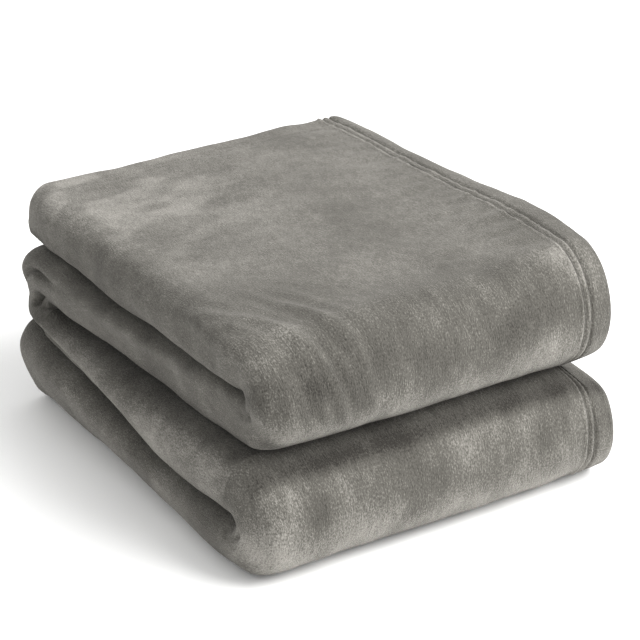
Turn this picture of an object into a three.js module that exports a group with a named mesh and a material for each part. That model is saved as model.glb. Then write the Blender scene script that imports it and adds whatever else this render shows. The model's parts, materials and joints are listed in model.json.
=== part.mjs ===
// A fleece throw folded into quarters across its width, then into quarters along its length: a strip
// of four layers that runs back and forth as four panels. Millimetres, +Z up, +Y towards the back fold.
// The origin is on the floor, under the middle of the folded stack.
import * as THREE from "three";

const stackWidth = 326; // along X, from the soft rolls on -X to the hems on +X
const stackDepth = 370; // along Y, from the two front folds to the back fold
const lowerPanel = 45.4; // thickness of each panel of the lower packet, four layers of cloth
const upperPanel = 43.6; // the same in the upper packet
const panelGap = 0.6; // air between two panels of one packet
const splitGap = 0.6; // air between the two packets at the back fold
const turnCore = 0.5; // smallest radius in the middle of the back fold
const pieceGap = 0.4; // air between neighbouring sections
const upperInset = 6; // the upper packet is narrower than the lower one by this at each side
const frontInset = 5; // and stands back by this at the front
const freeEndInset = 6; // the free ends stop this short of the back fold
const hemWidth = 20; // turned hem along the cut edges
const hemStep = 1; // the twin stitch line pulls the hem in by this
const hemStepWidth = 9;
const threadWidth = 1.2;
const threadHeight = 0.6;
const threadOffsets = [3, 6]; // of the two stitch lines, from the hem's inner edge
const foldSteps = 12; // facets round a front fold
const quarterSteps = 6; // facets round each half of the back fold
const rollSteps = 5; // facets in each quarter of a roll

const fleece = new THREE.MeshStandardMaterial({ color: 0x8c8984, roughness: 0.95, metalness: 0 });
const fleeceInside = new THREE.MeshStandardMaterial({ color: 0x7b7873, roughness: 0.95, metalness: 0 });
const fleeceHem = new THREE.MeshStandardMaterial({ color: 0x94918b, roughness: 0.95, metalness: 0 });
const hemThread = new THREE.MeshStandardMaterial({ color: 0x77746f, roughness: 0.7, metalness: 0 });

// One packet is two panels joined by a front fold, and half of the back fold. Its strip is drawn in a
// section plane: u runs along X, and v runs through the four layers, towards the face that shows.
const makePacket = ({ panel, inset, front, floorZ, flip, name, outerName, nearName }) => {
  const group = new THREE.Group();
  const left = -stackWidth / 2 + inset;
  const right = stackWidth / 2 - inset;
  const half = panel / 2;
  const layer = panel / 4;
  const frontY = -stackDepth / 2 + front;
  const backY = stackDepth / 2;
  const foldRadius = panel + panelGap / 2;
  const backRadius = panel + turnCore;
  const foldY = frontY + foldRadius; // where the panels end and the front fold starts
  const turnY = backY - backRadius; // where the near panel ends and the back fold starts

  // Heights of the middles of the two panels. In the lower packet the free panel is below.
  const farMid = flip ? floorZ + panel + panelGap + half : floorZ + half;
  const nearMid = flip ? floorZ + half : floorZ + panel + panelGap + half;
  const foldZ = (farMid + nearMid) / 2;
  const turnZ = nearMid + (flip ? -1 : 1) * (half + turnCore);
  const faceSign = flip ? 1 : -1; // the showing face of the free panel looks up or down

  // A frame is a place on the strip's middle line and the direction of v there.
  const frame = (y, z, ny, nz) => ({ y, z, ny, nz });
  const straight = (y0, y1, z, sign) => [frame(y0, z, 0, sign), frame(y1, z, 0, sign)];
  const arc = (cy, cz, radius, from, to, steps, outward) => {
    const frames = [];
    for (let i = 0; i <= steps; i += 1) {
      const angle = from + ((to - from) * i) / steps;
      const ny = Math.cos(angle);
      const nz = Math.sin(angle);
      frames.push(frame(cy + radius * ny, cz + radius * nz, ny * outward, nz * outward));
    }
    return frames;
  };
  const freeY = backY - freeEndInset;
  const hemY = freeY - hemWidth;
  const quarter = Math.PI / 2;
  const foldMid = half + panelGap / 2;
  const routes = {
    endHem: straight(freeY, hemY + pieceGap, farMid, faceSign),
    far: straight(hemY, foldY + pieceGap, farMid, faceSign),
    fold: arc(foldY, foldZ, foldMid, faceSign * quarter, faceSign * quarter * 3, foldSteps, 1),
    near: straight(foldY + pieceGap, turnY - pieceGap, nearMid, -faceSign),
    turn: arc(turnY, turnZ, half + turnCore, faceSign * quarter, 0, quarterSteps, -1),
  };

  // The layers that wrap round the outside: a C that opens towards +X.
  const wrapOutline = (upperEnd, lowerEnd, cover) => {
    const shape = new THREE.Shape();
    shape.moveTo(upperEnd, half);
    shape.lineTo(left + half, half);
    shape.absarc(left + half, 0, half, quarter, 3 * quarter, false);
    shape.lineTo(lowerEnd, -half);
    shape.lineTo(lowerEnd, -half + cover);
    shape.absarc(left + half, 0, half - cover, 3 * quarter, quarter, true);
    shape.lineTo(upperEnd, half - cover);
    return shape;
  };
  const cover = layer - pieceGap / 2;
  const wrap = wrapOutline(right - hemWidth - pieceGap, right, cover);
  // The two layers in the middle, as one soft bar.
  const coreHalf = half - cover - pieceGap;
  const core = new THREE.Shape();
  core.moveTo(right - pieceGap, coreHalf);
  core.lineTo(left + half, coreHalf);
  core.absarc(left + half, 0, coreHalf, quarter, 3 * quarter, false);
  core.lineTo(right - pieceGap, -coreHalf);
  // The hem of the showing layer, stepped in where it is stitched.
  const hemLeft = right - hemWidth;
  const hem = new THREE.Shape([
    new THREE.Vector2(right, half - cover),
    new THREE.Vector2(right, half - hemStep),
    new THREE.Vector2(right - hemStep, half),
    new THREE.Vector2(hemLeft + hemStepWidth, half),
    new THREE.Vector2(hemLeft + hemStepWidth, half - hemStep),
    new THREE.Vector2(hemLeft, half - hemStep),
    new THREE.Vector2(hemLeft, half - cover),
  ]);
  const threadAt = (offset) => {
    const top = half - hemStep + pieceGap / 2 + threadHeight;
    const from = hemLeft + offset - threadWidth / 2;
    return new THREE.Shape([
      new THREE.Vector2(from + threadWidth, top - threadHeight),
      new THREE.Vector2(from + threadWidth, top),
      new THREE.Vector2(from, top),
      new THREE.Vector2(from, top - threadHeight),
    ]);
  };

  const add = (meshName, shape, frames, material) => {
    const mesh = new THREE.Mesh(sweep(shape, frames, flip), material);
    mesh.name = meshName;
    group.add(mesh);
  };
  add(`${outerName}_panel_outer`, wrap, routes.far, fleece);
  add(`${outerName}_panel_inner`, core, straight(freeY, foldY + pieceGap, farMid, faceSign), fleeceInside);
  add(`${outerName}_end_hem`, wrap, routes.endHem, fleeceHem);
  add(`${name}_front_fold_outer`, wrap, routes.fold, fleece);
  add(`${name}_front_fold_inner`, core, routes.fold, fleeceInside);
  add(`${nearName}_panel_outer`, wrap, routes.near, fleece);
  add(`${nearName}_panel_inner`, core, routes.near, fleeceInside);
  add(`${name}_back_fold_outer`, wrap, routes.turn, fleece);
  add(`${name}_back_fold_inner`, core, routes.turn, fleeceInside);
  const edgeRoute = [routes.endHem[0], ...routes.fold, ...routes.turn];
  add(`${name}_side_hem`, hem, edgeRoute, fleeceHem);
  threadOffsets.forEach((offset, i) => {
    add(`${name}_hem_thread_${i + 1}`, threadAt(offset), edgeRoute, hemThread);
  });
  return group;
};

// Sweeps a section along frames as one closed body.
function sweep(shape, frames, mirrored) {
  const outline = shape.extractPoints(rollSteps).shape;
  if (THREE.ShapeUtils.isClockWise(outline)) outline.reverse();
  const positions = [];
  for (const at of frames) {
    for (const { x, y: v } of outline) positions.push(x, at.y + v * at.ny, at.z + v * at.nz);
  }
  const count = outline.length;
  const index = [];
  for (let ring = 0; ring + 1 < frames.length; ring += 1) {
    for (let i = 0; i < count; i += 1) {
      const a = ring * count + i;
      const b = ring * count + ((i + 1) % count);
      index.push(a, b, b + count, a, b + count, a + count);
    }
  }
  const last = (frames.length - 1) * count;
  for (const [a, b, c] of THREE.ShapeUtils.triangulateShape(outline, [])) {
    index.push(c, b, a, last + a, last + b, last + c);
  }
  if (!mirrored) {
    for (let i = 0; i < index.length; i += 3) [index[i + 1], index[i + 2]] = [index[i + 2], index[i + 1]];
  }
  const geometry = new THREE.BufferGeometry();
  geometry.setAttribute("position", new THREE.Float32BufferAttribute(positions, 3));
  geometry.setIndex(index);
  geometry.computeVertexNormals();
  return geometry;
}

const lowerHeight = 2 * lowerPanel + panelGap;
const upperFloor = lowerHeight + 2 * turnCore + splitGap;
const throwStack = new THREE.Group();
throwStack.add(
  makePacket({
    panel: lowerPanel,
    inset: 0,
    front: 0,
    floorZ: 0,
    flip: false,
    name: "lower",
    outerName: "bottom",
    nearName: "third",
  }),
  makePacket({
    panel: upperPanel,
    inset: upperInset,
    front: frontInset,
    floorZ: upperFloor,
    flip: true,
    name: "upper",
    outerName: "top",
    nearName: "second",
  }),
);

export default throwStack;
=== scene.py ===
import json
import math

import bmesh
import bpy
import numpy as np
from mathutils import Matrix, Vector, noise


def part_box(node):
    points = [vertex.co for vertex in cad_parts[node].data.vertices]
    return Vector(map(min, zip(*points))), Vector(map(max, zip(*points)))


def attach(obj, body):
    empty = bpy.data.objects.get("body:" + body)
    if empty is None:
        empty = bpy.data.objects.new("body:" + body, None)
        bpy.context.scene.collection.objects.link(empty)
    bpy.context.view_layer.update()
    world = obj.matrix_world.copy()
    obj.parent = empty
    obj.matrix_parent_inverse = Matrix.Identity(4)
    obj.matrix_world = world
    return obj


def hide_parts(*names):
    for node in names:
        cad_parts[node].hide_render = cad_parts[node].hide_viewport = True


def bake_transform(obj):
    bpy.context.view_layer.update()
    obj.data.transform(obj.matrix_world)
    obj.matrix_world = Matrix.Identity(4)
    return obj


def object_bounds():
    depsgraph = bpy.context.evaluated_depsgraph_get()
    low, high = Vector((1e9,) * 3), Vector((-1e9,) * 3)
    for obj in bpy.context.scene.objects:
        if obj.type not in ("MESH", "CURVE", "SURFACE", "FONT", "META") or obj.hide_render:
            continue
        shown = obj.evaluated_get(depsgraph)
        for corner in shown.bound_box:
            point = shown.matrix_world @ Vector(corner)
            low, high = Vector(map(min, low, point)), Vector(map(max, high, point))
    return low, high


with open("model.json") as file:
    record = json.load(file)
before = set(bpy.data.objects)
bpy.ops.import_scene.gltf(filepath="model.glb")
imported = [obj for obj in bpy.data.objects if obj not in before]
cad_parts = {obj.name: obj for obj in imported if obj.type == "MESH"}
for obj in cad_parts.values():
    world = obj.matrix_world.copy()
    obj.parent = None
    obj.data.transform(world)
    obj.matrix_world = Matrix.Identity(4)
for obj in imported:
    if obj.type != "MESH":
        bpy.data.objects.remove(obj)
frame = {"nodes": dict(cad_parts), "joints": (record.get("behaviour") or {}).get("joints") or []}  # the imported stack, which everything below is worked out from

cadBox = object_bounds()
mm = 0.001

# the strip's panels and folds, from the top panel's free end to the bottom panel's
topPanel, upperFront, secondPanel, backFold, thirdPanel, lowerFront, bottomPanel = range(7)
# the strip's section, from the hem that shows round to the second layer, and the edges' rounded hems
showing, outerRoll, fourthLayer, sideFold, thirdLayer, innerRoll, secondLayer = range(7)
showingEdge, innerEdge = 7, 8


def linear(hexColour):
    # sRGB hex to the linear colour that shaders and lights take
    channels = [int(hexColour[i:i + 2], 16) / 255 for i in (1, 3, 5)]
    return [c / 12.92 if c <= 0.04045 else ((c + 0.055) / 1.055) ** 2.4 for c in channels] + [1.0]


def addNode(tree, kind, settings=None, inputs=None):
    # settings are the node's own properties; an input is a value or another node's socket
    node = tree.nodes.new(kind)
    for key, value in (settings or {}).items():
        setattr(node, key, value)
    for key, value in (inputs or {}).items():
        if isinstance(value, bpy.types.NodeSocket):
            tree.links.new(value, node.inputs[key])
        else:
            node.inputs[key].default_value = value
    return node


def smooth(low, high, x):
    t = np.clip((x - low) / (high - low), 0, 1)
    return t * t * (3 - 2 * t)


def bump(x, centre, width):
    return np.exp(-((x - centre) / width) ** 2)


view = {
    "azimuth": -32.6,  # degrees, from looking along +Y
    "elevation": 25.4,
    "distance": 1.728,
    "fieldOfView": 15.96,
    "aimHeight": 0.09,
    "panRight": 0.0056,
    "panUp": 0.0099,
}


def placeCamera():
    azimuth = math.radians(view["azimuth"])
    elevation = math.radians(view["elevation"])
    level = math.cos(elevation)
    back = Vector((math.sin(azimuth) * level, -math.cos(azimuth) * level, math.sin(elevation)))
    right = Vector((math.cos(azimuth), math.sin(azimuth), 0))
    up = back.cross(right)
    aim = Vector((0, 0, view["aimHeight"])) + right * view["panRight"] + up * view["panUp"]
    data = bpy.data.cameras.new("camera")
    data.sensor_fit = "HORIZONTAL"
    data.angle = math.radians(view["fieldOfView"])
    camera = bpy.data.objects.new("camera", data)
    camera.location = aim + back * view["distance"]
    camera.rotation_euler = back.to_track_quat("Z", "Y").to_euler()
    bpy.context.scene.collection.objects.link(camera)
    bpy.context.scene.camera = camera
    print("camera placed")


placeCamera()


fleeceLook = {
    "deep": "#2f2d2a",  # at the roots of the nap, where it is brushed away from the eye, and in painted shade
    "middle": "#575550",
    "tip": "#94918b",  # where the nap lies towards the light, and in painted light and sheen
    "stops": (0.15, 0.5, 0.85),
    # Size across and along the pile, detail and roughness, the share in the tone where the nap lies
    # shut, and what is added where it stands open. Fibres are really some 20 microns thick: they are
    # drawn coarse enough to show.
    "patterns": {
        "patches": (38 * mm, 38 * mm, 4.0, 0.6, 0.14, 0.0),
        "blotches": (7 * mm, 12 * mm, 4.0, 0.65, 0.28, 0.05),
        "locks": (1.2 * mm, 4.2 * mm, 2.0, 0.6, 0.36, 0.05),
        "fibres": (0.95 * mm, 0.95 * mm, 2.0, 0.7, 0.85, 0.05),
    },
    "napDepth": 0.8 * mm,
    "lockRelief": 0.7,  # beside the fibres
    "grooveWidth": 1.1 * mm,
    "grooveShade": 0.42,
    "groove": "#2b2926",  # the shadowed line that the stitches pull in
    "roughness": 0.95,
    "specular": 0.1,
    "sheenWeight": 0.32,
    "sheenRoughness": 0.4,
    "sheen": "#d6d3cd",
}


def plushFleece(name, seamLines):
    # brushed double-faced polyester fleece: matt, in soft patches where a hand has stroked the nap,
    # with a pale velvet rim where the surface turns away
    look = fleeceLook
    material = bpy.data.materials.new(name)
    material.use_nodes = True
    tree = material.node_tree
    tree.nodes.clear()
    cloth = addNode(tree, "ShaderNodeUVMap", {"uv_map": "cloth"}).outputs["UV"]
    place = addNode(tree, "ShaderNodeTexCoord").outputs["Object"]
    # the tone painted on each vertex: the nap's lie with painted light, sheen and shade
    tone = addNode(tree, "ShaderNodeAttribute", {"attribute_name": "nap"}).outputs["Fac"]
    bend = addNode(tree, "ShaderNodeAttribute", {"attribute_name": "bend"}).outputs["Fac"]
    patterns = {}
    for key, (across, along, detail, roughness, share, opened) in look["patterns"].items():
        mapping = addNode(tree, "ShaderNodeMapping", inputs={
            "Vector": place if key == "patches" else cloth, "Scale": (1 / across, 1 / along, 1 / across),
        })
        patterns[key] = addNode(tree, "ShaderNodeTexNoise", inputs={
            "Vector": mapping.outputs["Vector"], "Scale": 1.0, "Detail": detail, "Roughness": roughness,
        }).outputs["Fac"]
        strength = addNode(tree, "ShaderNodeMath", {"operation": "MULTIPLY_ADD"}, {
            0: bend, 1: opened, 2: share,
        })
        swing = addNode(tree, "ShaderNodeMath", {"operation": "SUBTRACT"}, {0: patterns[key], 1: 0.5})
        tone = addNode(tree, "ShaderNodeMath", {"operation": "MULTIPLY_ADD"}, {
            0: swing.outputs["Value"], 1: strength.outputs["Value"], 2: tone,
        }).outputs["Value"]
    ramp = addNode(tree, "ShaderNodeValToRGB", inputs={"Fac": tone})
    colours = (look["deep"], look["middle"], look["tip"])
    while len(ramp.color_ramp.elements) < len(colours):
        ramp.color_ramp.elements.new(0.5)
    for element, position, colour in zip(ramp.color_ramp.elements, look["stops"], colours):
        element.position = position
        element.color = linear(colour)
    colour = ramp.outputs["Color"]
    # the two lines of stitches waver a little with the locks beside them
    across = addNode(tree, "ShaderNodeSeparateXYZ", inputs={"Vector": cloth}).outputs["X"]
    wobble = addNode(tree, "ShaderNodeMath", {"operation": "MULTIPLY_ADD"}, {
        0: patterns["locks"], 1: look["grooveWidth"], 2: -0.5 * look["grooveWidth"],
    })
    line = addNode(tree, "ShaderNodeMath", {"operation": "ADD"}, {0: across, 1: wobble.outputs["Value"]})
    for seam in seamLines:
        past = addNode(tree, "ShaderNodeMath", {"operation": "SUBTRACT"}, {0: line.outputs["Value"], 1: seam})
        away = addNode(tree, "ShaderNodeMath", {"operation": "ABSOLUTE"}, {0: past.outputs["Value"]})
        shade = addNode(tree, "ShaderNodeMapRange", {"interpolation_type": "SMOOTHSTEP"}, {
            "Value": away.outputs["Value"], "From Min": 0.0, "From Max": look["grooveWidth"],
            "To Min": look["grooveShade"], "To Max": 0.0,
        })
        colour = addNode(tree, "ShaderNodeMix", {"data_type": "RGBA"}, {
            0: shade.outputs["Result"], 6: colour, 7: linear(look["groove"]),
        }).outputs[2]
    relief = addNode(tree, "ShaderNodeMath", {"operation": "MULTIPLY_ADD"}, {
        0: patterns["locks"], 1: look["lockRelief"], 2: patterns["fibres"],
    })
    bumps = addNode(tree, "ShaderNodeBump", inputs={
        "Height": relief.outputs["Value"], "Distance": look["napDepth"], "Strength": 1.0,
    })
    shader = addNode(tree, "ShaderNodeBsdfPrincipled", inputs={
        "Base Color": colour,
        "Normal": bumps.outputs["Normal"],
        "Roughness": look["roughness"],
        "Specular IOR Level": look["specular"],
        "Sheen Weight": look["sheenWeight"],
        "Sheen Roughness": look["sheenRoughness"],
        "Sheen Tint": linear(look["sheen"]),
    })
    output = addNode(tree, "ShaderNodeOutputMaterial")
    tree.links.new(shader.outputs["BSDF"], output.inputs["Surface"])
    return material


threadLook = {
    "dark": "#3e3c38",
    "light": "#6a6761",
    "twist": 0.6 * mm,
    "roughness": 0.6,
    "sheenWeight": 0.1,
}


def spunThread():
    # spun polyester sewing thread: small dark stitches with a dull shine, half hidden in the nap
    material = bpy.data.materials.new("spunThread")
    material.use_nodes = True
    tree = material.node_tree
    tree.nodes.clear()
    place = addNode(tree, "ShaderNodeTexCoord")
    twist = addNode(tree, "ShaderNodeTexNoise", inputs={
        "Vector": place.outputs["Object"], "Scale": 1 / threadLook["twist"], "Detail": 2.0,
    })
    ramp = addNode(tree, "ShaderNodeValToRGB", inputs={"Fac": twist.outputs["Fac"]})
    ramp.color_ramp.elements[0].color = linear(threadLook["dark"])
    ramp.color_ramp.elements[1].color = linear(threadLook["light"])
    shader = addNode(tree, "ShaderNodeBsdfPrincipled", inputs={
        "Base Color": ramp.outputs["Color"],
        "Roughness": threadLook["roughness"],
        "Sheen Weight": threadLook["sheenWeight"],
    })
    output = addNode(tree, "ShaderNodeOutputMaterial")
    tree.links.new(shader.outputs["BSDF"], output.inputs["Surface"])
    return material


throwCloth = {
    "flat": (1.27, 1.52),  # the cut size: folded in quarters both ways
    "layerGap": 0.7 * mm,  # air between two layers
    "panelGap": 0.6 * mm,
    "turnCore": 0.8 * mm,  # radius left in the middle of the back fold
    "rollSquare": 2.3,  # 2 would be a round side roll, and pressed in a stack it is squarer
    "fineAcross": 3.2 * mm,  # grid on the cloth that shows
    "fineAlong": 2.2 * mm,
    "hemAcross": 1.1 * mm,
    "sideAlong": 7.5 * mm,  # and along the panels that show only at the side
    "hemWidth": 19 * mm,
    "seamSpacing": 6.5 * mm,  # between the two rows of stitches
    "seamDepth": 1.2 * mm,
    "seamWidth": 1.0 * mm,
    "ridgeHeight": 1.1 * mm,  # the cloth stands up in a roll beside each row
    "ridgeWidth": 1.5 * mm,
    "ridgeAway": 2.2 * mm,
    "ridgeUneven": 0.7,
    "gather": 5 * mm,  # the stitches gather the cloth at about this spacing
    "drift": (0.8 * mm, 30 * mm),  # how far the seams stray, and over what length
    "hemRise": 1.2 * mm,
    "hemSlope": 4 * mm,
    "edgeMoves": 0.6,  # the hem's rounded edge moves less than the face
    "hemMargin": 8 * mm,  # the hem's fine grid goes this far past the seams
    "showingShort": 22 * mm,  # the layer that shows is this much narrower than the stack
    "endRound": 5 * mm,
    "endSteps": 5,
    "turnRows": 30,  # an even number, so that no row lies on the hinge's own plane
    # steps of the grid along each part of the section, on the layers' outer and inner sides
    "outerSteps": {outerRoll: 28, fourthLayer: 9, sideFold: 10, thirdLayer: 4, innerRoll: 6, secondLayer: 5},
    "innerSteps": {
        secondLayer: 5, innerRoll: 6, thirdLayer: 4, sideFold: 6, fourthLayer: 4, outerRoll: 9, showing: 6,
    },
    "edgeSteps": 6,
    # how far short of the stack's hem side each edge stops
    "edgeShort": {"second": 8 * mm, "fold": 5 * mm, "showing": 1.5 * mm},
    # how far each edge strays, and over what length
    "stray": {"left": (2.5 * mm, 120 * mm), "showing": (2 * mm, 100 * mm),
              "second": (7 * mm, 70 * mm), "fold": (5 * mm, 80 * mm)},
    # the free ends of the layers don't lie quite even: how far, over what length, and in what sizes
    "endStray": (5 * mm, 60 * mm, (90 * mm, 14 * mm)),
    "keepOff": 0.03 * mm,  # from the plane that the packets part on
    # inside the back fold the packets close up over this length, within this reach of their plane
    "slot": {"length": 30 * mm, "reach": 4 * mm},
}

seamLines = (throwCloth["hemWidth"], throwCloth["hemWidth"] + throwCloth["seamSpacing"])
fleece = plushFleece("brushedPolyesterFleece", seamLines)
thread = spunThread()
print("materials made")

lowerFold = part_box("lower_front_fold_outer")
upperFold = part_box("upper_front_fold_outer")
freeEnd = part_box("top_panel_inner")[1].y
hingeY = cadBox[1].y
hingeZ = frame["joints"][0]["pos_m"][2]


def stripRows():
    # The strip's middle line from the top panel's free end, round the folds, to the bottom panel's.
    # Each row has a place, the direction that the showing face looks there, and the strip's sizes.
    cloth = throwCloth
    lowerHalf = (hingeZ - cloth["turnCore"] - cloth["panelGap"]) / 4
    top = upperFold[1].z
    upperHalf = (top - hingeZ - cloth["turnCore"] - cloth["panelGap"]) / 4
    rows = {key: [] for key in ("y", "z", "ny", "nz", "half", "packet", "part", "along")}
    endRound = cloth["endRound"]
    count = cloth["endSteps"]
    endSteps = [endRound * (1 - math.cos(math.pi / 2 * i / count)) for i in range(count)]

    def add(y, z, ny, nz, half, packet, part):
        last = (rows["y"][-1], rows["z"][-1]) if rows["y"] else (y, z)
        length = math.hypot(y - last[0], z - last[1])
        values = (y, z, ny, nz, half, packet, part)
        for key, value in zip(("y", "z", "ny", "nz", "half", "packet", "part"), values):
            rows[key].append(value)
        rows["along"].append((rows["along"][-1] if rows["along"] else 0.0) + length)

    def straight(y0, y1, z, nz, half, packet, part, spacing):
        count = max(2, round(abs(y1 - y0) / spacing))
        for i in range(count + 1):
            add(y0 + (y1 - y0) * i / count, z, 0.0, nz, half, packet, part)

    def fold(centreY, centreZ, half, packet, part):
        radius = half + cloth["panelGap"] / 2
        count = round(math.pi * 2 * half / cloth["fineAlong"])
        for i in range(1, count):
            angle = math.pi / 2 + math.pi * i / count
            ny, nz = math.cos(angle), math.sin(angle)
            add(centreY + radius * ny, centreZ + radius * nz, ny, nz, half, packet, part)

    upperMidTop = top - upperHalf
    upperMidLow = hingeZ + cloth["turnCore"] + upperHalf
    lowerMidTop = hingeZ - cloth["turnCore"] - lowerHalf
    lowerMidLow = lowerHalf
    upperFoldY = upperFold[0].y + 2 * upperHalf
    lowerFoldY = lowerFold[0].y + 2 * lowerHalf
    backReach = 2 * max(upperHalf, lowerHalf) + cloth["turnCore"]

    for step in endSteps:
        add(freeEnd - step, upperMidTop, 0.0, 1.0, upperHalf, 0.0, topPanel)
    straight(freeEnd - endRound, upperFoldY, upperMidTop, 1.0, upperHalf, 0.0, topPanel, cloth["fineAlong"])
    fold(upperFoldY, (upperMidTop + upperMidLow) / 2, upperHalf, 0.0, upperFront)
    turnY = hingeY - backReach
    straight(upperFoldY, turnY, upperMidLow, -1.0, upperHalf, 0.0, secondPanel, cloth["sideAlong"])
    for i in range(cloth["turnRows"]):
        angle = math.pi / 2 - math.pi * (i + 0.5) / cloth["turnRows"]
        packet = (1 - math.sin(angle)) / 2
        half = upperHalf + (lowerHalf - upperHalf) * packet
        radius = half + cloth["turnCore"]
        ny, nz = math.cos(angle), math.sin(angle)
        add(turnY + radius * ny, hingeZ + radius * nz, -ny, -nz, half, packet, backFold)
    straight(turnY, lowerFoldY, lowerMidTop, 1.0, lowerHalf, 1.0, thirdPanel, cloth["sideAlong"])
    fold(lowerFoldY, (lowerMidTop + lowerMidLow) / 2, lowerHalf, 1.0, lowerFront)
    endY = freeEnd - endRound
    straight(lowerFoldY, endY, lowerMidLow, -1.0, lowerHalf, 1.0, bottomPanel, cloth["sideAlong"])
    for step in endSteps[::-1]:
        add(freeEnd - step, lowerMidLow, 0.0, -1.0, lowerHalf, 1.0, bottomPanel)
    rows = {key: np.array(value) for key, value in rows.items()}
    # each layer's cut end is a rounded hem
    fromEnd = np.minimum(rows["along"], rows["along"][-1] - rows["along"])
    inward = np.clip(1 - fromEnd / endRound, 0, 0.97)
    rows["thin"] = np.sqrt(1 - inward ** 2)
    return rows


def wander(values, seed, amount, size):
    # smooth seeded wobble along the strip
    return amount * np.array([noise.noise(Vector((v / size, seed * 3.7, 0.5))) for v in values])


def sectionColumns():
    # (segment, place along it, side) round the whole closed section, starting at the hem that shows
    cloth = throwCloth
    length = cadBox[1].x - cadBox[0].x - cloth["showingShort"]
    hemZone = cloth["hemWidth"] + cloth["seamSpacing"] + cloth["hemMargin"]
    near = np.arange(0, hemZone, cloth["hemAcross"])
    far = np.arange(hemZone, length - cloth["fineAcross"], cloth["fineAcross"])
    columns = [(showing, t, 1) for t in np.concatenate([near, far]) / length]
    for segment, count in cloth["outerSteps"].items():
        columns += [(segment, i / count, 1) for i in range(count)]
    count = cloth["edgeSteps"]
    columns += [(innerEdge, i / count, 1) for i in range(count)]
    for segment, steps in cloth["innerSteps"].items():
        columns += [(segment, 1 - i / steps, -1) for i in range(steps)]
    columns += [(showingEdge, i / count, 1) for i in range(count)]
    return columns


def sectionPoint(column, rows):
    # x, v and the outward normal of one column, for all rows at once. v runs through the strip.
    segment, t, side = column
    half = rows["half"]
    eighth = half / 4
    thick = (eighth - throwCloth["layerGap"] / 2) * rows["thin"]
    rollX = rows["left"] + half
    foldX = rows["foldEdge"] - half / 2
    zero = np.zeros_like(half)
    one = np.ones_like(half)
    if segment in (showingEdge, innerEdge):
        angle = -math.pi / 2 + math.pi * t
        level = 3 * eighth if segment == showingEdge else eighth
        edge = rows["edgeA"] if segment == showingEdge else rows["edgeB"]
        x = edge - thick + thick * math.cos(angle)
        return x, level + thick * math.sin(angle), math.cos(angle) * one, math.sin(angle) * one
    if segment == showing:
        start = rows["edgeA"] - thick
        return start + (rollX - start) * t, 3 * eighth + side * thick, zero, side * one
    if segment == outerRoll:
        power = throwCloth["rollSquare"]
        angle = math.pi / 2 + math.pi * t
        radius = 3 * eighth + side * thick
        c = math.copysign(abs(math.cos(angle)) ** (2 / power), math.cos(angle))
        s = math.copysign(abs(math.sin(angle)) ** (2 / power), math.sin(angle))
        nx = math.copysign(abs(c) ** (power - 1), c)
        nv = math.copysign(abs(s) ** (power - 1), s)
        size = side / math.hypot(nx, nv)
        return rollX + radius * c, radius * s, size * nx * one, size * nv * one
    if segment == fourthLayer:
        return rollX + (foldX - rollX) * t, -3 * eighth - side * thick, zero, -side * one
    if segment == sideFold:
        angle = -math.pi / 2 + math.pi * t
        radius = eighth + side * thick
        c, s = math.cos(angle), math.sin(angle)
        return foldX + radius * c, -half / 2 + radius * s, side * c * one, side * s * one
    if segment == thirdLayer:
        return foldX + (rollX - foldX) * t, -eighth + side * thick, zero, side * one
    if segment == innerRoll:
        angle = 1.5 * math.pi - math.pi * t
        radius = eighth - side * thick
        c, s = math.cos(angle), math.sin(angle)
        return rollX + radius * c, radius * s, -side * c * one, -side * s * one
    end = rows["edgeB"] - thick
    return rollX + (end - rollX) * t, eighth - side * thick, zero, -side * one


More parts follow.
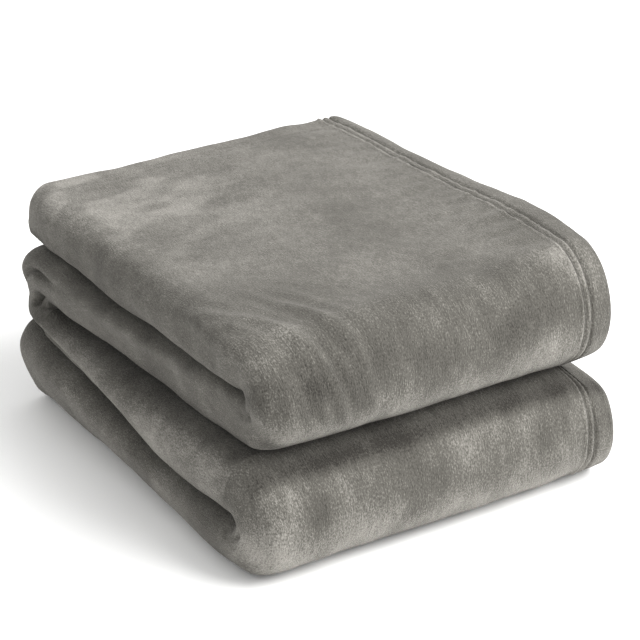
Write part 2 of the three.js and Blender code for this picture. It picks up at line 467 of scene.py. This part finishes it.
# How far the cloth settles. The other numbers say where, as shares of the stack's half width, half depth
# or height: the centre and spread of a swelling, or where a move begins and where it is whole.
settling = {
    "left": (-0.1, -1.0),
    "right": (0.25, 0.9),
    "back": (-0.3, 1.0),
    "endTuck": 0.057,  # the stack draws in towards its front and back, as cloth does at a corner
    "hemTuck": 0.035,  # and the hem side draws in at its front and back
    "cornerPower": 5,
    "upperNarrow": 0.98,
    "upperBlend": 8 * mm,
    "topSwell": (5 * mm, -0.3, 0.5),  # the top packet lies loose near its hem, towards the front
    "topCrown": (1 * mm, 0.8, 0.4),
    "topBack": 3.5 * mm,  # the top is a little higher at the back
    "topBackDepth": (-0.6, 0.8),
    "topBackWidth": (-0.6, 0.3),
    "topBackEdge": 1.2,
    "hemDroop": 9 * mm,  # and rounds down towards the hem
    "hemDroopWidth": (0.84, 1.03),
    "hemFirmer": (0.7, -0.45, 0.42),  # but less so where the packet lies loose
    "edgeWave": 4 * mm,  # the hem side of the top stands higher at the front than at the back
    "edgeRise": (1.0, -0.45, 0.38),
    "edgeDip": (0.5, 0.6, 0.3),
    "edgeWidth": (0.45, 0.85),
    "lowerDroop": 13 * mm,  # the lower packet's hem side droops in front
    "lowerDroopDepth": (0.8, 0.4),
    "lowerDroopWidth": (0.72, 1.03),
    "upperPinch": (5 * mm, 0.76, 0.16),  # at the back left the upper limb is pressed thinner
    "pinchBlend": 15 * mm,
    "lowerLift": 27 * mm,  # and the bottom limb stands thicker
    "backSwell": (18 * mm, 0.68, 0.14),  # so that the back fold bulges out between them
    "backSwellTop": (0.86, 0.76),
    "backNotch": (10 * mm, 0.33, 0.05),  # with a notch between it and the bottom limb
    "bottomSwell": (9 * mm, 0.2, 0.11),
    "thirdSwell": (7 * mm, 0.42, 0.08),
    "thirdDepth": (-0.8, 0.1),
    "recessBack": 0.8,  # the two moves above and below fade by this share towards the back
    "secondRecess": 9 * mm,  # the second limb stands back between its neighbours
    "recessAbove": 18 * mm,
    "recessSpread": 20 * mm,
    "floorTuck": 11 * mm,  # the roll on the floor is drawn under
    "floorTuckHeight": 0.22,
    "floorTuckLeast": 0.3,
    "floorTuckDepth": (1.0, 0.35, 0.75),
    "floorTuckBack": (1.05, 0.75),
    "partingTuck": 14 * mm,  # the hems draw in where the two front folds part
    "partingAbove": 3 * mm,
    "partingSpread": 9 * mm,
    "partingDepth": (0.8, -0.3),
    "partingWidth": (0.6, 1.0),
    "wave": 5 * mm,  # slow waves of the layers inside each packet
    "waveSize": (110 * mm, 75 * mm, 50 * mm),
}


def settle(place):
    # The stack sags and rounds like cloth: smooth moves of the whole space, so no layer crosses another.
    x, y, z = (place[:, :, k] for k in range(3))
    halfWidth, halfDepth, height = cadBox[1].x, cadBox[1].y, cadBox[1].z

    def swell(key, value, size):
        amount, centre, spread = settling[key]
        return amount * bump(value, centre * size, spread * size)

    def fade(key, value, size):
        begins, whole = settling[key]
        return smooth(begins * size, whole * size, value)

    power = settling["cornerPower"]
    upper = smooth(hingeZ - settling["upperBlend"], hingeZ + settling["upperBlend"], z)
    atLeft = fade("left", x, halfWidth)
    atRight = fade("right", x, halfWidth)
    atBack = fade("back", y, halfDepth)
    backLeft = atLeft * atBack
    notBack = 1 - settling["recessBack"] * atBack
    newX = x * (1 - settling["endTuck"] * np.abs(y / halfDepth) ** power)
    newX = newX * (1 - (1 - settling["upperNarrow"]) * upper)
    newX = newX + swell("topSwell", y, halfDepth) * atRight * upper
    newX = newX - swell("backSwell", z, height) * backLeft * fade("backSwellTop", z, height)
    newX = newX - swell("bottomSwell", z, height) * backLeft
    newX = newX - swell("thirdSwell", z, height) * atLeft * fade("thirdDepth", y, halfDepth) * notBack
    recess = bump(z, hingeZ + settling["recessAbove"], settling["recessSpread"])
    newX = newX + settling["secondRecess"] * atLeft * notBack * recess
    tuck = settling["floorTuckLeast"] + swell("floorTuckDepth", y, halfDepth)
    tuck = tuck * fade("floorTuckBack", y, halfDepth) * smooth(settling["floorTuckHeight"] * height, 0, z)
    newX = newX + settling["floorTuck"] * atLeft * tuck
    newX = newX + swell("backNotch", z, height) * backLeft
    parting = fade("partingDepth", y, halfDepth) * fade("partingWidth", x, halfWidth)
    parting = parting * bump(z, hingeZ + settling["partingAbove"], settling["partingSpread"])
    newX = newX - settling["partingTuck"] * parting
    newY = y * (1 - settling["hemTuck"] * atRight * np.abs(x / halfWidth) ** power)

    lift = swell("upperPinch", z, height) * (z > hingeZ)
    lift = lift * smooth(hingeZ, hingeZ + settling["pinchBlend"], z)
    lift = lift + settling["lowerLift"] * np.sin(math.pi * np.clip(z / hingeZ, 0, 1)) ** 2
    atEdge = fade("hemDroopWidth", x, halfWidth)
    droop = settling["hemDroop"] * atEdge * (1 - swell("hemFirmer", y, halfDepth))
    droop = droop - swell("topCrown", x, halfWidth)
    raised = fade("topBackDepth", y, halfDepth) * fade("topBackWidth", x, halfWidth)
    droop = droop - settling["topBack"] * raised * (1 - settling["topBackEdge"] * atEdge)
    hemWave = swell("edgeRise", y, halfDepth) - swell("edgeDip", y, halfDepth)
    droop = droop - settling["edgeWave"] * hemWave * fade("edgeWidth", x, halfWidth)
    droop = droop * smooth(hingeZ, height, z)
    inFront = fade("lowerDroopDepth", y, halfDepth) * fade("lowerDroopWidth", x, halfWidth) * (z < hingeZ)
    droop = droop + settling["lowerDroop"] * inFront * smooth(0, hingeZ, z)

    # between the floor, the parting plane and the top, the layers lie in slow waves
    free = np.sin(math.pi * np.clip(z / hingeZ, 0, 1)) ** 2
    free = np.where(z > hingeZ, np.sin(math.pi * np.clip((z - hingeZ) / (height - hingeZ), 0, 1)) ** 2, free)
    size = settling["waveSize"]
    points = place.reshape(-1, 3)
    wave = [noise.noise(Vector((q[0] / size[0], q[1] / size[1], q[2] / size[2] + 5.0))) for q in points]
    lift = lift * backLeft + settling["wave"] * free * np.array(wave).reshape(x.shape)
    return np.stack([newX, newY, z + lift - droop], axis=-1)


# Heights come first, then sizes. Places are shares of the stack's half width or half depth, or of a segment.
wrinkles = {
    "soft": (1.3 * mm, 55 * mm),  # the plush's own unevenness
    "small": (0.6 * mm, 19 * mm),
    "corner": (4.4 * mm, 10 * mm, 45 * mm),  # height, spacing and length of the slack at the front left
    "cornerWidth": (-0.7, 0.35),
    "cornerDepth": (-0.25, -0.75),
    "slant": math.radians(-24),
    "hem": (1.5 * mm, 11 * mm, 34 * mm),  # pulled in by the seams
    "hemPlace": (44 * mm, 26 * mm),
    "roll": (2.4 * mm, 17 * mm, 80 * mm),  # lengthwise on the side rolls
    "lip": (10 * mm, 0.035),  # depth and width of the gaps between the back fold's crumpled layers
    "lipAt": (0.36, 0.62),
    "lipWaver": (0.05, 30 * mm),
    "lipReach": 1.2,
    "slit": (6 * mm, 0.03, 0.6),  # depth, width and place of the gap where a front fold turns under
    "slitUpper": (-0.6, 0.3),  # centre and spread round each front fold, by which way it faces
    "slitLower": (-0.45, 0.4),
}


def ridged(a, b, spacing, length, seed):
    # noise drawn out into ridges: a runs across them and b along them
    values = [noise.noise(Vector((p / spacing, q / length, seed))) for p, q in zip(a.flat, b.flat)]
    return np.array(values).reshape(a.shape)


def creases(place, rows, segment, side, t, across):
    # how far the cloth that shows stands out or in at each vertex
    x, y = place[:, :, 0], place[:, :, 1]
    along = np.broadcast_to(rows["along"][:, None], x.shape)
    part = rows["part"]
    roll = (segment == outerRoll)[None, :]
    soft = np.zeros(x.shape)
    for seed, key in ((0, "soft"), (4, "small")):
        amount, size = wrinkles[key]
        values = [noise.noise(Vector(p) / size + Vector((seed, 0, 0))) for p in place.reshape(-1, 3)]
        soft += amount * np.array(values).reshape(x.shape)
    c, s = math.cos(wrinkles["slant"]), math.sin(wrinkles["slant"])
    halfWidth, halfDepth = cadBox[1].x, cadBox[1].y
    amount, spacing, length = wrinkles["corner"]
    centre, spread = wrinkles["cornerWidth"]
    begins, whole = wrinkles["cornerDepth"]
    mask = bump(x, centre * halfWidth, spread * halfWidth) * smooth(begins * halfDepth, whole * halfDepth, y)
    slack = ridged(x * c + along * s, along * c - x * s, spacing, length, 11.0)
    soft += amount * slack * mask * ((part <= upperFront) * smooth(-0.8, 0.0, rows["nz"]))[:, None]
    amount, spacing, length = wrinkles["hem"]
    mask = bump(across, *wrinkles["hemPlace"]) * (segment == showing)[None, :]
    soft += amount * ridged(along, across, spacing, length, 17.0) * mask
    amount, spacing, length = wrinkles["roll"]
    girth = (t * (segment == outerRoll))[None, :] * math.pi * rows["half"][:, None]
    soft += amount * ridged(girth, along, spacing, length, 23.0) * roll * smooth(0.0, 0.3, t)[None, :]
    # the back fold's layers stand apart at the side, in the upper packet
    depth, width = wrinkles["lip"]
    turn = rows["along"][(part == backFold) & (rows["z"] > hingeZ)]
    crumpled = bump(rows["along"], turn.mean(), wrinkles["lipReach"] * (turn[-1] - turn[0]))
    crumpled = crumpled * (rows["z"] > hingeZ)
    amount, size = wrinkles["lipWaver"]
    waver = amount * np.array([noise.noise(Vector((a / size, 31.0, 0.0))) for a in rows["along"]])
    for at in wrinkles["lipAt"]:
        soft -= depth * bump(t[None, :] + waver[:, None], at, width) * roll * crumpled[:, None]
    depth, width, at = wrinkles["slit"]
    turned = (part == upperFront) * bump(rows["nz"], *wrinkles["slitUpper"])
    turned = turned + (part == lowerFront) * bump(rows["nz"], *wrinkles["slitLower"])
    soft -= depth * bump(t, at, width)[None, :] * roll * turned[:, None]
    return soft * (((segment == showing) | (segment == outerRoll)) & (side == 1))[None, :]


# How much lighter or darker the cloth is painted: the nap's lie, and painted light, sheen and shade where
# light falls on or is kept off the folds and limbs.
# Pairs are the centre and spread of a patch, or where it begins and is whole: by which way a front fold
# faces, or as a share of the stack or of a segment.
brushedAndShaded = {
    "plain": 0.5,
    "limits": (0.02, 0.95),
    "backLight": 0.06,  # the nap lies towards the light over the back of the top
    "backLightRight": 0.4,  # and less so on the hem side
    "backDepth": (-0.5, 0.9),
    "leftWidth": (0.6, -0.6),
    "topFrom": 0.9,
    "frontDark": -0.12,  # painted shade where the top turns down
    "frontTurn": (0.35, 0.42),
    "brinkDark": -0.04,
    "brinkDepth": (-0.4, -0.8),
    "underLight": 0.1,  # painted sheen on the turned-under cloth of a front fold
    "underTurn": (-0.6, 0.3),
    "lowerLight": 0.1,  # painted sheen on the lower packet's front
    "stroke": (0.14, 40 * mm, 17 * mm),  # strength, length and width of hand strokes
    "strokeEdge": (-0.05, 0.35),
    "wash": (0.12, 60 * mm),
    "creaseDark": 0.15,  # painted shade in the creases between the limbs
    "creaseBelow": (0.55, 1.0),
    "creaseAbove": (0.3, 0.0),
    "creaseInside": (0.8, 1.0),
    "secondDark": 0.05,  # painted shadow, most of all on the second limb
    # painted shade along the second limb's lower part
    "underDark": 0.04,
    "underReach": (0.5, 0.15),
    "partingDark": 0.17,  # painted shade where the two packets part, at the side
    "partingReach": (0.36, 0.1),
    "thirdLight": 0.1,  # the third limb's roll stands out into the light
    "thirdReach": (0.5, 0.3),
    "gapDark": 0.3,  # painted shadow between the two front folds
    "gapTurn": (0.84, 0.11),
    "rollDark": 0.04,
    "ridgeLight": 0.13,  # painted highlight on the rolls of cloth along the seams
    "mottle": (0.1, 26 * mm, 20 * mm),  # strength and size of the soft blotches on the folds
    "mottleOnTop": 0.25,
}


openedNap = {
    "crest": (0.16, 0.2),  # centre and spread round the side rolls
    "lead": (1.0, 0.06),  # and along the showing layer, where it meets them
    "corner": 0.6,  # the front left corner
    "cornerWidth": (-0.95, 0.25),
    "cornerDepth": (-0.5, -0.9),
    "underside": 0.6,  # the turned-under cloth of the front folds
}


def openNap(place, rows, segment, side, t, across):
    # where the cloth bends sharply the nap parts, and pale tips stand beside dark roots
    halfWidth, halfDepth = cadBox[1].x, cadBox[1].y
    crest = (bump(t, *openedNap["crest"]) * (segment == outerRoll))[None, :]
    lead = (bump(t, *openedNap["lead"]) * (segment == showing))[None, :]
    centre, spread = openedNap["cornerWidth"]
    begins, whole = openedNap["cornerDepth"]
    corner = bump(place[:, :, 0], centre * halfWidth, spread * halfWidth)
    corner = corner * smooth(begins * halfDepth, whole * halfDepth, place[:, :, 1])
    fronts = (rows["part"] == upperFront) | (rows["part"] == lowerFront)
    underside = (fronts * bump(rows["nz"], *brushedAndShaded["underTurn"]))[:, None]
    hemBand = (across < seamLines[0]) & (segment == showing)[None, :]
    opened = crest + lead + openedNap["corner"] * corner + openedNap["underside"] * underside + hemBand
    return np.clip(opened, 0, 1) * (side == 1)[None, :]


def paintNapAndShade(place, rows, segment, side, t):
    # the cloth's tone from 0, dark, to 1, light: which way the nap lies, and painted light, sheen and shade
    x, y, z = (place[:, :, k] for k in range(3))
    halfWidth, halfDepth, height = cadBox[1].x, cadBox[1].y, cadBox[1].z
    part = rows["part"]
    roll = segment == outerRoll

    def fade(key, value, size=1.0):
        begins, whole = brushedAndShaded[key]
        return smooth(begins * size, whole * size, value)

    washStrength, washSize = brushedAndShaded["wash"]
    points = place.reshape(-1, 3)
    wash = [noise.noise(Vector(p) / washSize + Vector((0, 0, 9.0))) for p in points]
    nap = brushedAndShaded["plain"] + washStrength * np.array(wash).reshape(x.shape)
    # the top: light over its back left, in strokes, and darker at its brink
    onTop = (part == topPanel)[:, None] * smooth(brushedAndShaded["topFrom"] * height, height, z)
    backward = fade("backDepth", y, halfDepth) * onTop
    leftward = fade("leftWidth", x, halfWidth)
    least = brushedAndShaded["backLightRight"]
    nap = nap + brushedAndShaded["backLight"] * backward * (least + (1 - least) * leftward)
    strength, long, wide = brushedAndShaded["stroke"]
    strokes = [noise.noise(Vector((p[0] / long, p[1] / wide, p[2] / wide + 3.0))) for p in points]
    nap = nap + strength * fade("strokeEdge", np.array(strokes).reshape(x.shape)) * backward * leftward
    nap = nap + brushedAndShaded["brinkDark"] * fade("brinkDepth", y, halfDepth) * onTop
    # the two front folds: painted shade where the top turns down and in the gap between them, painted sheen
    # on the cloth that turns under and on the lower packet's front
    fronts = (part == upperFront) | (part == lowerFront)
    upward = np.where(fronts, rows["nz"], 0.0)
    turned = brushedAndShaded["frontDark"] * bump(upward, *brushedAndShaded["frontTurn"])
    turned = (turned + brushedAndShaded["underLight"] * bump(upward, *brushedAndShaded["underTurn"])) * fronts
    turned = turned + brushedAndShaded["lowerLight"] * (part == lowerFront) * (1 - upward ** 2)
    nap = nap + turned[:, None]
    gap = np.where(part == upperFront, -rows["nz"], rows["nz"]) * fronts
    facing = insideFold(segment, side, t)[None, :]
    nap = nap - brushedAndShaded["gapDark"] * bump(gap, *brushedAndShaded["gapTurn"])[:, None] * facing
    # the limbs at the side: painted shade in the creases, on the second limb and where the packets part, and
    # painted light on the third limb's roll
    inner = ((part == secondPanel) | (part == thirdPanel))[:, None]
    second = (part == secondPanel)[:, None] * roll[None, :]
    third = (part == thirdPanel)[:, None] * (roll * bump(t, *brushedAndShaded["thirdReach"]))[None, :]
    creased = fade("creaseAbove", t) * roll + fade("creaseInside", t) * (segment == showing)
    deep = (fade("creaseBelow", t) * roll)[None, :] + inner * creased[None, :]
    nap = nap - brushedAndShaded["creaseDark"] * deep - brushedAndShaded["secondDark"] * second
    nap = nap - brushedAndShaded["underDark"] * second * fade("underReach", t)[None, :]
    nap = nap - brushedAndShaded["partingDark"] * inner * (roll * fade("partingReach", t))[None, :]
    nap = nap + brushedAndShaded["thirdLight"] * third
    nap = nap - brushedAndShaded["rollDark"] * (part <= upperFront)[:, None] * roll[None, :]
    mottle, wide, long = brushedAndShaded["mottle"]
    share = 1 - (1 - brushedAndShaded["mottleOnTop"]) * onTop
    length = np.broadcast_to(rows["along"][:, None], x.shape)
    cloud = ridged(x, length, wide, long, 41.0) + 0.5 * ridged(x, length, wide / 2, long / 2, 43.0)
    nap = nap + mottle * cloud * share
    return np.clip(nap, *brushedAndShaded["limits"])


def buildThrow():
    cloth = throwCloth
    rows = stripRows()
    packet = rows["packet"]
    upperLeft, lowerLeft = upperFold[0].x, lowerFold[0].x
    lowerRight = cadBox[1].x
    upperRight = lowerRight - (upperLeft - lowerLeft)
    along = rows["along"]
    stray, short = cloth["stray"], cloth["edgeShort"]
    rows["left"] = upperLeft + (lowerLeft - upperLeft) * packet + wander(along, 1, *stray["left"])
    right = upperRight + (lowerRight - upperRight) * packet
    rows["edgeA"] = right - short["showing"] + wander(along, 2, *stray["showing"])
    rows["edgeB"] = right - short["second"] + wander(along, 3, *stray["second"])
    rows["foldEdge"] = right - short["fold"] + wander(along, 4, *stray["fold"])

    columns = sectionColumns()
    rowCount, columnCount = len(along), len(columns)
    place = np.zeros((rowCount, columnCount, 3))
    normal = np.zeros_like(place)
    across = np.zeros((rowCount, columnCount))
    for j, column in enumerate(columns):
        x, v, nx, nv = sectionPoint(column, rows)
        place[:, j, 0] = x
        place[:, j, 1] = rows["y"] + v * rows["ny"]
        place[:, j, 2] = rows["z"] + v * rows["nz"]
        normal[:, j, 0] = nx
        normal[:, j, 1] = nv * rows["ny"]
        normal[:, j, 2] = nv * rows["nz"]
        if j:
            step = np.hypot(x - lastX, v - lastV)
            across[:, j] = across[:, j - 1] + step
        lastX, lastV = x, v

    # How far the surface may move at each vertex: only cloth that shows moves.
    segment = np.array([c[0] for c in columns])
    t = np.array([c[1] for c in columns])
    side = np.array([c[2] for c in columns])
    outward = side == 1
    moves = ((segment == showing) | (segment == outerRoll)) * outward * 1.0
    moves = moves + (segment == fourthLayer) * outward * (1 - smooth(0.0, 0.1, t))
    moves = moves + (segment == showingEdge) * cloth["edgeMoves"]
    facing = (rows["part"] > upperFront) & (rows["part"] < lowerFront)
    hidden = facing[:, None] & ((segment == showing) | (segment == showingEdge))[None, :]
    moves = np.where(hidden, 0.0, moves[None, :])

    # Soft unevenness and creases, then the hem's seams and the end hems.
    shift = creases(place, rows, segment, side, t, across)
    hem = ((segment == showing) * outward * 1.0)[None, :]
    gather = np.array([noise.noise(Vector((a / cloth["gather"], 2.0, 0.0))) for a in along])[:, None]
    drift = np.array([noise.noise(Vector((a / cloth["drift"][1], 6.0, 0.0))) for a in along])[:, None]
    edge = across + cloth["drift"][0] * drift
    profile = cloth["hemRise"] * (1 - smooth(seamLines[0] - cloth["hemSlope"], seamLines[0], edge))
    ridges = 0
    for seam in seamLines:
        profile = profile - cloth["seamDepth"] * bump(edge, seam, cloth["seamWidth"])
        ridge = bump(edge, seam + cloth["ridgeAway"], cloth["ridgeWidth"])
        ridges = ridges + (1 + cloth["ridgeUneven"] * gather) * ridge
    shift = shift + (profile + cloth["ridgeHeight"] * ridges) * hem
    endDistance = np.minimum(along - along[0], along[-1] - along)[:, None]
    endSeam = sum(bump(endDistance, seam, cloth["seamWidth"]) for seam in seamLines)
    besideHem = 1 - hem * smooth(30 * mm, 20 * mm, edge)
    shift = shift - 0.5 * cloth["seamDepth"] * endSeam * besideHem
    place += normal * (shift * moves)[:, :, None]
    atEnd = ((rows["part"] == topPanel) | (rows["part"] == bottomPanel))[:, None]
    amount, reach, size = cloth["endStray"]
    points = place.reshape(-1, 3)
    stray = [noise.noise(Vector((q[0] / size[0], 4.0, q[2] / size[1]))) for q in points]
    place[:, :, 1] += amount * smooth(reach, 0, endDistance) * atEnd * np.array(stray).reshape(rowCount, -1)
    # the tone, with a painted highlight on the seam ridges
    nap = paintNapAndShade(place, rows, segment, side, t) + brushedAndShaded["ridgeLight"] * ridges * hem
    bend = openNap(place, rows, segment, side, t, across)

    place = settle(keepApart(place, rows))
    place = keepApart(closeSlot(place, segment, side, t), rows)
    mesh = closeSheet(place, segment, side, t, across, along)
    for name, values in (("nap", nap), ("bend", bend)):
        mesh.attributes.new(name, "FLOAT", "POINT").data.foreach_set("value", values.reshape(-1))
    throw = bpy.data.objects.new("throw", mesh)
    bpy.context.scene.collection.objects.link(throw)
    seams = {}
    for name, at in zip(("first", "second"), seamLines):
        column = int(np.argmin(np.where(hem[0] > 0, np.abs(across.mean(0) - at), np.inf)))
        seams[name] = (place[:, column], normal[:, column])
    return throw, rows, seams


def keepApart(place, rows):
    # the two packets keep off the plane they part on, and the bottom stays on the floor
    upper = (rows["part"] < backFold) | ((rows["part"] == backFold) & (rows["z"] > hingeZ))
    keepOff = throwCloth["keepOff"]
    z = place[:, :, 2]
    above, below = np.maximum(z, hingeZ + keepOff), np.clip(z, 0.0, hingeZ - keepOff)
    place[:, :, 2] = np.where(upper[:, None], above, below)
    return place


def insideFold(segment, side, t):
    # the share of each column that looks along v: into the hollow of the back fold, out at a front fold
    segments = [segment == showing, segment == outerRoll, segment == showingEdge]
    return np.select(segments, [1.0, smooth(0.4, 0.1, t), smooth(0.5, 1, t)], 0.0) * (side == 1)


def closeSlot(place, segment, side, t):
    # Inside the back fold the packets close up on the plane they part on, so that opened they lie level.
    slot = throwCloth["slot"]
    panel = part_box("second_panel_outer")
    slotEnd = hingeY - (panel[1].z - panel[0].z)
    y, z = place[:, :, 1], place[:, :, 2]
    near = smooth(slotEnd - slot["length"], slotEnd, y)
    near = near * smooth(slot["reach"], 0.4 * slot["reach"], np.abs(z - hingeZ))
    place[:, :, 2] = z + (hingeZ - z) * near * insideFold(segment, side, t)[None, :]
    return place


def openLength(place, segment, side, t, along):
    # Opening the back fold draws out the cloth hidden inside it, so its pattern is laid on to fit that.
    turn = int(np.argmax(place[:, :, 2].mean(1) < hingeZ))
    reach = np.maximum(hingeY - place[turn], 0)[:, 1]
    hidden = insideFold(segment, side, t)
    fromTurn = along - 0.5 * (along[turn - 1] + along[turn])
    fade = np.sign(fromTurn) * smooth(2 * reach.max(), 0, np.abs(fromTurn))
    return along[:, None] + fade[:, None] * (reach * hidden)[None, :]


def closeSheet(place, segment, side, t, across, along):
    # One closed skin: quads round the section and along the strip, and a cap at each free end.
    rowCount, columnCount = place.shape[:2]
    points = place.reshape(-1, 3)
    i = np.arange(rowCount - 1)[:, None]
    j = np.arange(columnCount)[None, :]
    nextJ = (j + 1) % columnCount
    quads = np.stack([
        i * columnCount + j, i * columnCount + nextJ,
        (i + 1) * columnCount + nextJ, (i + 1) * columnCount + j,
    ], axis=-1).reshape(-1, 4)
    faces = quads.tolist()
    outer = [k for k in range(columnCount) if side[k] == 1 and segment[k] <= secondLayer]
    inner = [k for k in range(columnCount) if side[k] == -1][::-1]
    endA = [k for k in range(columnCount) if segment[k] == showingEdge]
    endB = [k for k in range(columnCount) if segment[k] == innerEdge]
    for base, turned in ((0, False), ((rowCount - 1) * columnCount, True)):
        cap = []
        a, b = 0, 0
        while a + 1 < len(outer) or b + 1 < len(inner):
            stepA = a + 1 < len(outer)
            if stepA and b + 1 < len(inner):
                toA = np.linalg.norm(points[base + outer[a + 1]] - points[base + inner[b]])
                toB = np.linalg.norm(points[base + outer[a]] - points[base + inner[b + 1]])
                stepA = toA <= toB
            if stepA:
                cap.append([base + outer[a], base + inner[b], base + outer[a + 1]])
                a += 1
            else:
                cap.append([base + outer[a], base + inner[b], base + inner[b + 1]])
                b += 1
        hemA = [base + outer[0]] + [base + k for k in endA[::-1]] + [base + inner[0]]
        hemB = [base + outer[-1]] + [base + k for k in endB] + [base + inner[-1]]
        cap += [[hemA[0], hemA[n], hemA[n + 1]] for n in range(1, len(hemA) - 1)]
        cap += [[hemB[0], hemB[n + 1], hemB[n]] for n in range(1, len(hemB) - 1)]
        faces += [c[::-1] for c in cap] if turned else cap
    mesh = bpy.data.meshes.new("throw")
    mesh.from_pydata(points.tolist(), [], faces)
    mesh.update()
    layer = mesh.uv_layers.new(name="cloth")
    loopVertex = np.zeros(len(mesh.loops), int)
    mesh.loops.foreach_get("vertex_index", loopVertex)
    u = across.reshape(-1)[loopVertex]
    v = openLength(place, segment, side, t, along).reshape(-1)[loopVertex]
    # the last quad of each row runs past the seam of the section
    total = across[:, -1].max() + 2 * mm
    wraps = np.zeros(len(mesh.loops), bool)
    quadLoops = (rowCount - 1) * columnCount * 4
    onFirst = (loopVertex[:quadLoops] % columnCount == 0).reshape(-1, 4)
    lastQuad = np.tile(np.arange(columnCount) == columnCount - 1, rowCount - 1)
    wraps[:quadLoops] = (onFirst & lastQuad[:, None]).reshape(-1)
    u = np.where(wraps, total, u)
    layer.data.foreach_set("uv", np.stack([u, v], 1).reshape(-1))
    mesh.shade_smooth()
    mesh.materials.append(fleece)
    return mesh


throw, throwRows, seams = buildThrow()
shell = bmesh.new()
shell.from_mesh(throw.data)
bmesh.ops.recalc_face_normals(shell, faces=shell.faces)
openEdges = sum(1 for e in shell.edges if len(e.link_faces) != 2)
shell.to_mesh(throw.data)
volume = round(shell.calc_volume(), 5)
print("throw made:", len(shell.faces), "faces,", openEdges, "open edges,", volume, "cubic metres")
shell.free()
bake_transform(throw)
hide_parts(*[name for name in frame["nodes"] if "thread" not in name])


stitching = {
    "pitch": 4.2 * mm,
    "length": 3.2 * mm,
    "thickness": 0.9 * mm,
    "sink": 0.45 * mm,  # the pile closes over the thread by this
}


def stitchTree():
    tree = bpy.data.node_groups.new("stitchRow", "GeometryNodeTree")
    tree.interface.new_socket("Geometry", in_out="INPUT", socket_type="NodeSocketGeometry")
    for name in ("Pitch", "Length", "Thickness"):
        tree.interface.new_socket(name, in_out="INPUT", socket_type="NodeSocketFloat")
    tree.interface.new_socket("Material", in_out="INPUT", socket_type="NodeSocketMaterial")
    tree.interface.new_socket("Geometry", in_out="OUTPUT", socket_type="NodeSocketGeometry")
    given = addNode(tree, "NodeGroupInput").outputs
    line = addNode(tree, "GeometryNodeMeshToCurve", inputs={"Mesh": given["Geometry"]})
    points = addNode(tree, "GeometryNodeCurveToPoints", {"mode": "LENGTH"}, {
        "Curve": line.outputs["Curve"], "Length": given["Pitch"],
    })
    stitch = addNode(tree, "GeometryNodeMeshUVSphere", inputs={"Segments": 6, "Rings": 4, "Radius": 0.5})
    size = addNode(tree, "ShaderNodeCombineXYZ", inputs={
        "X": given["Thickness"], "Y": given["Thickness"], "Z": given["Length"],
    })
    copies = addNode(tree, "GeometryNodeInstanceOnPoints", inputs={
        "Points": points.outputs["Points"], "Instance": stitch.outputs["Mesh"],
        "Rotation": points.outputs["Rotation"], "Scale": size.outputs["Vector"],
    })
    real = addNode(tree, "GeometryNodeRealizeInstances", inputs={"Geometry": copies.outputs["Instances"]})
    painted = addNode(tree, "GeometryNodeSetMaterial", inputs={
        "Geometry": real.outputs["Geometry"], "Material": given["Material"],
    })
    addNode(tree, "NodeGroupOutput", inputs={"Geometry": painted.outputs["Geometry"]})
    return tree


stitchNodes = stitchTree()


def stitchRow(name, points, node, body):
    guide = bpy.data.meshes.new(name + "Guide")
    guide.from_pydata([tuple(p) for p in points], [(i, i + 1) for i in range(len(points) - 1)], [])
    holder = bpy.data.objects.new(name + "Guide", guide)
    bpy.context.scene.collection.objects.link(holder)
    modifier = holder.modifiers.new("stitches", "NODES")
    modifier.node_group = stitchNodes
    values = {
        "Pitch": stitching["pitch"], "Length": stitching["length"],
        "Thickness": stitching["thickness"], "Material": thread,
    }
    for item in stitchNodes.interface.items_tree:
        if item.in_out == "INPUT" and item.name in values:
            modifier[item.identifier] = values[item.name]
    shown = holder.evaluated_get(bpy.context.evaluated_depsgraph_get())
    mesh = bpy.data.meshes.new_from_object(shown)
    piece = bpy.data.objects.new(name, mesh)
    bpy.context.scene.collection.objects.link(piece)
    bpy.data.objects.remove(holder)
    mesh.shade_smooth()
    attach(piece, body)
    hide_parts(node)


for number, key in ((1, "first"), (2, "second")):
    points, normals = seams[key]
    line = points + normals * (0.5 * stitching["thickness"] - stitching["sink"])
    part = throwRows["part"]
    stitchRow(f"stitchesUpper{number}", line[part <= upperFront], f"upper_hem_thread_{number}", "upper_half")
    stitchRow(f"stitchesLower{number}", line[part == lowerFront], f"lower_hem_thread_{number}", "lower_half")
print("stitches made")


studio = {
    "floorSize": 14.0,
    "floorLevel": -0.2 * mm,  # just under the cloth
    "floor": "#f8f8f7",
    "sky": 1.0,
    "key": {"at": (1.3, -1.9, 2.3), "size": 2.0, "power": 162.0},
}


def makeStudio():
    size = studio["floorSize"] / 2
    mesh = bpy.data.meshes.new("floor")
    level = studio["floorLevel"]
    corners = [(-size, -size, level), (size, -size, level), (size, size, level), (-size, size, level)]
    mesh.from_pydata(corners, [], [(0, 1, 2, 3)])
    floor = bpy.data.objects.new("floor", mesh)
    bpy.context.scene.collection.objects.link(floor)
    material = bpy.data.materials.new("paintedFloor")
    material.use_nodes = True
    shader = material.node_tree.nodes["Principled BSDF"]
    shader.inputs["Base Color"].default_value = linear(studio["floor"])
    shader.inputs["Roughness"].default_value = 0.9
    mesh.materials.append(material)
    world = bpy.data.worlds.new("studioSky")
    bpy.context.scene.world = world
    world.use_nodes = True
    world.node_tree.nodes["Background"].inputs["Color"].default_value = (1, 1, 1, 1)
    world.node_tree.nodes["Background"].inputs["Strength"].default_value = studio["sky"]
    lamp = studio["key"]
    data = bpy.data.lights.new("key", "AREA")
    data.size = lamp["size"]
    data.energy = lamp["power"]
    light = bpy.data.objects.new("key", data)
    light.location = lamp["at"]
    light.rotation_euler = Vector(lamp["at"]).to_track_quat("Z", "Y").to_euler()
    bpy.context.scene.collection.objects.link(light)
    bpy.context.scene.view_settings.view_transform = "Standard"
    print("studio lit")


makeStudio()
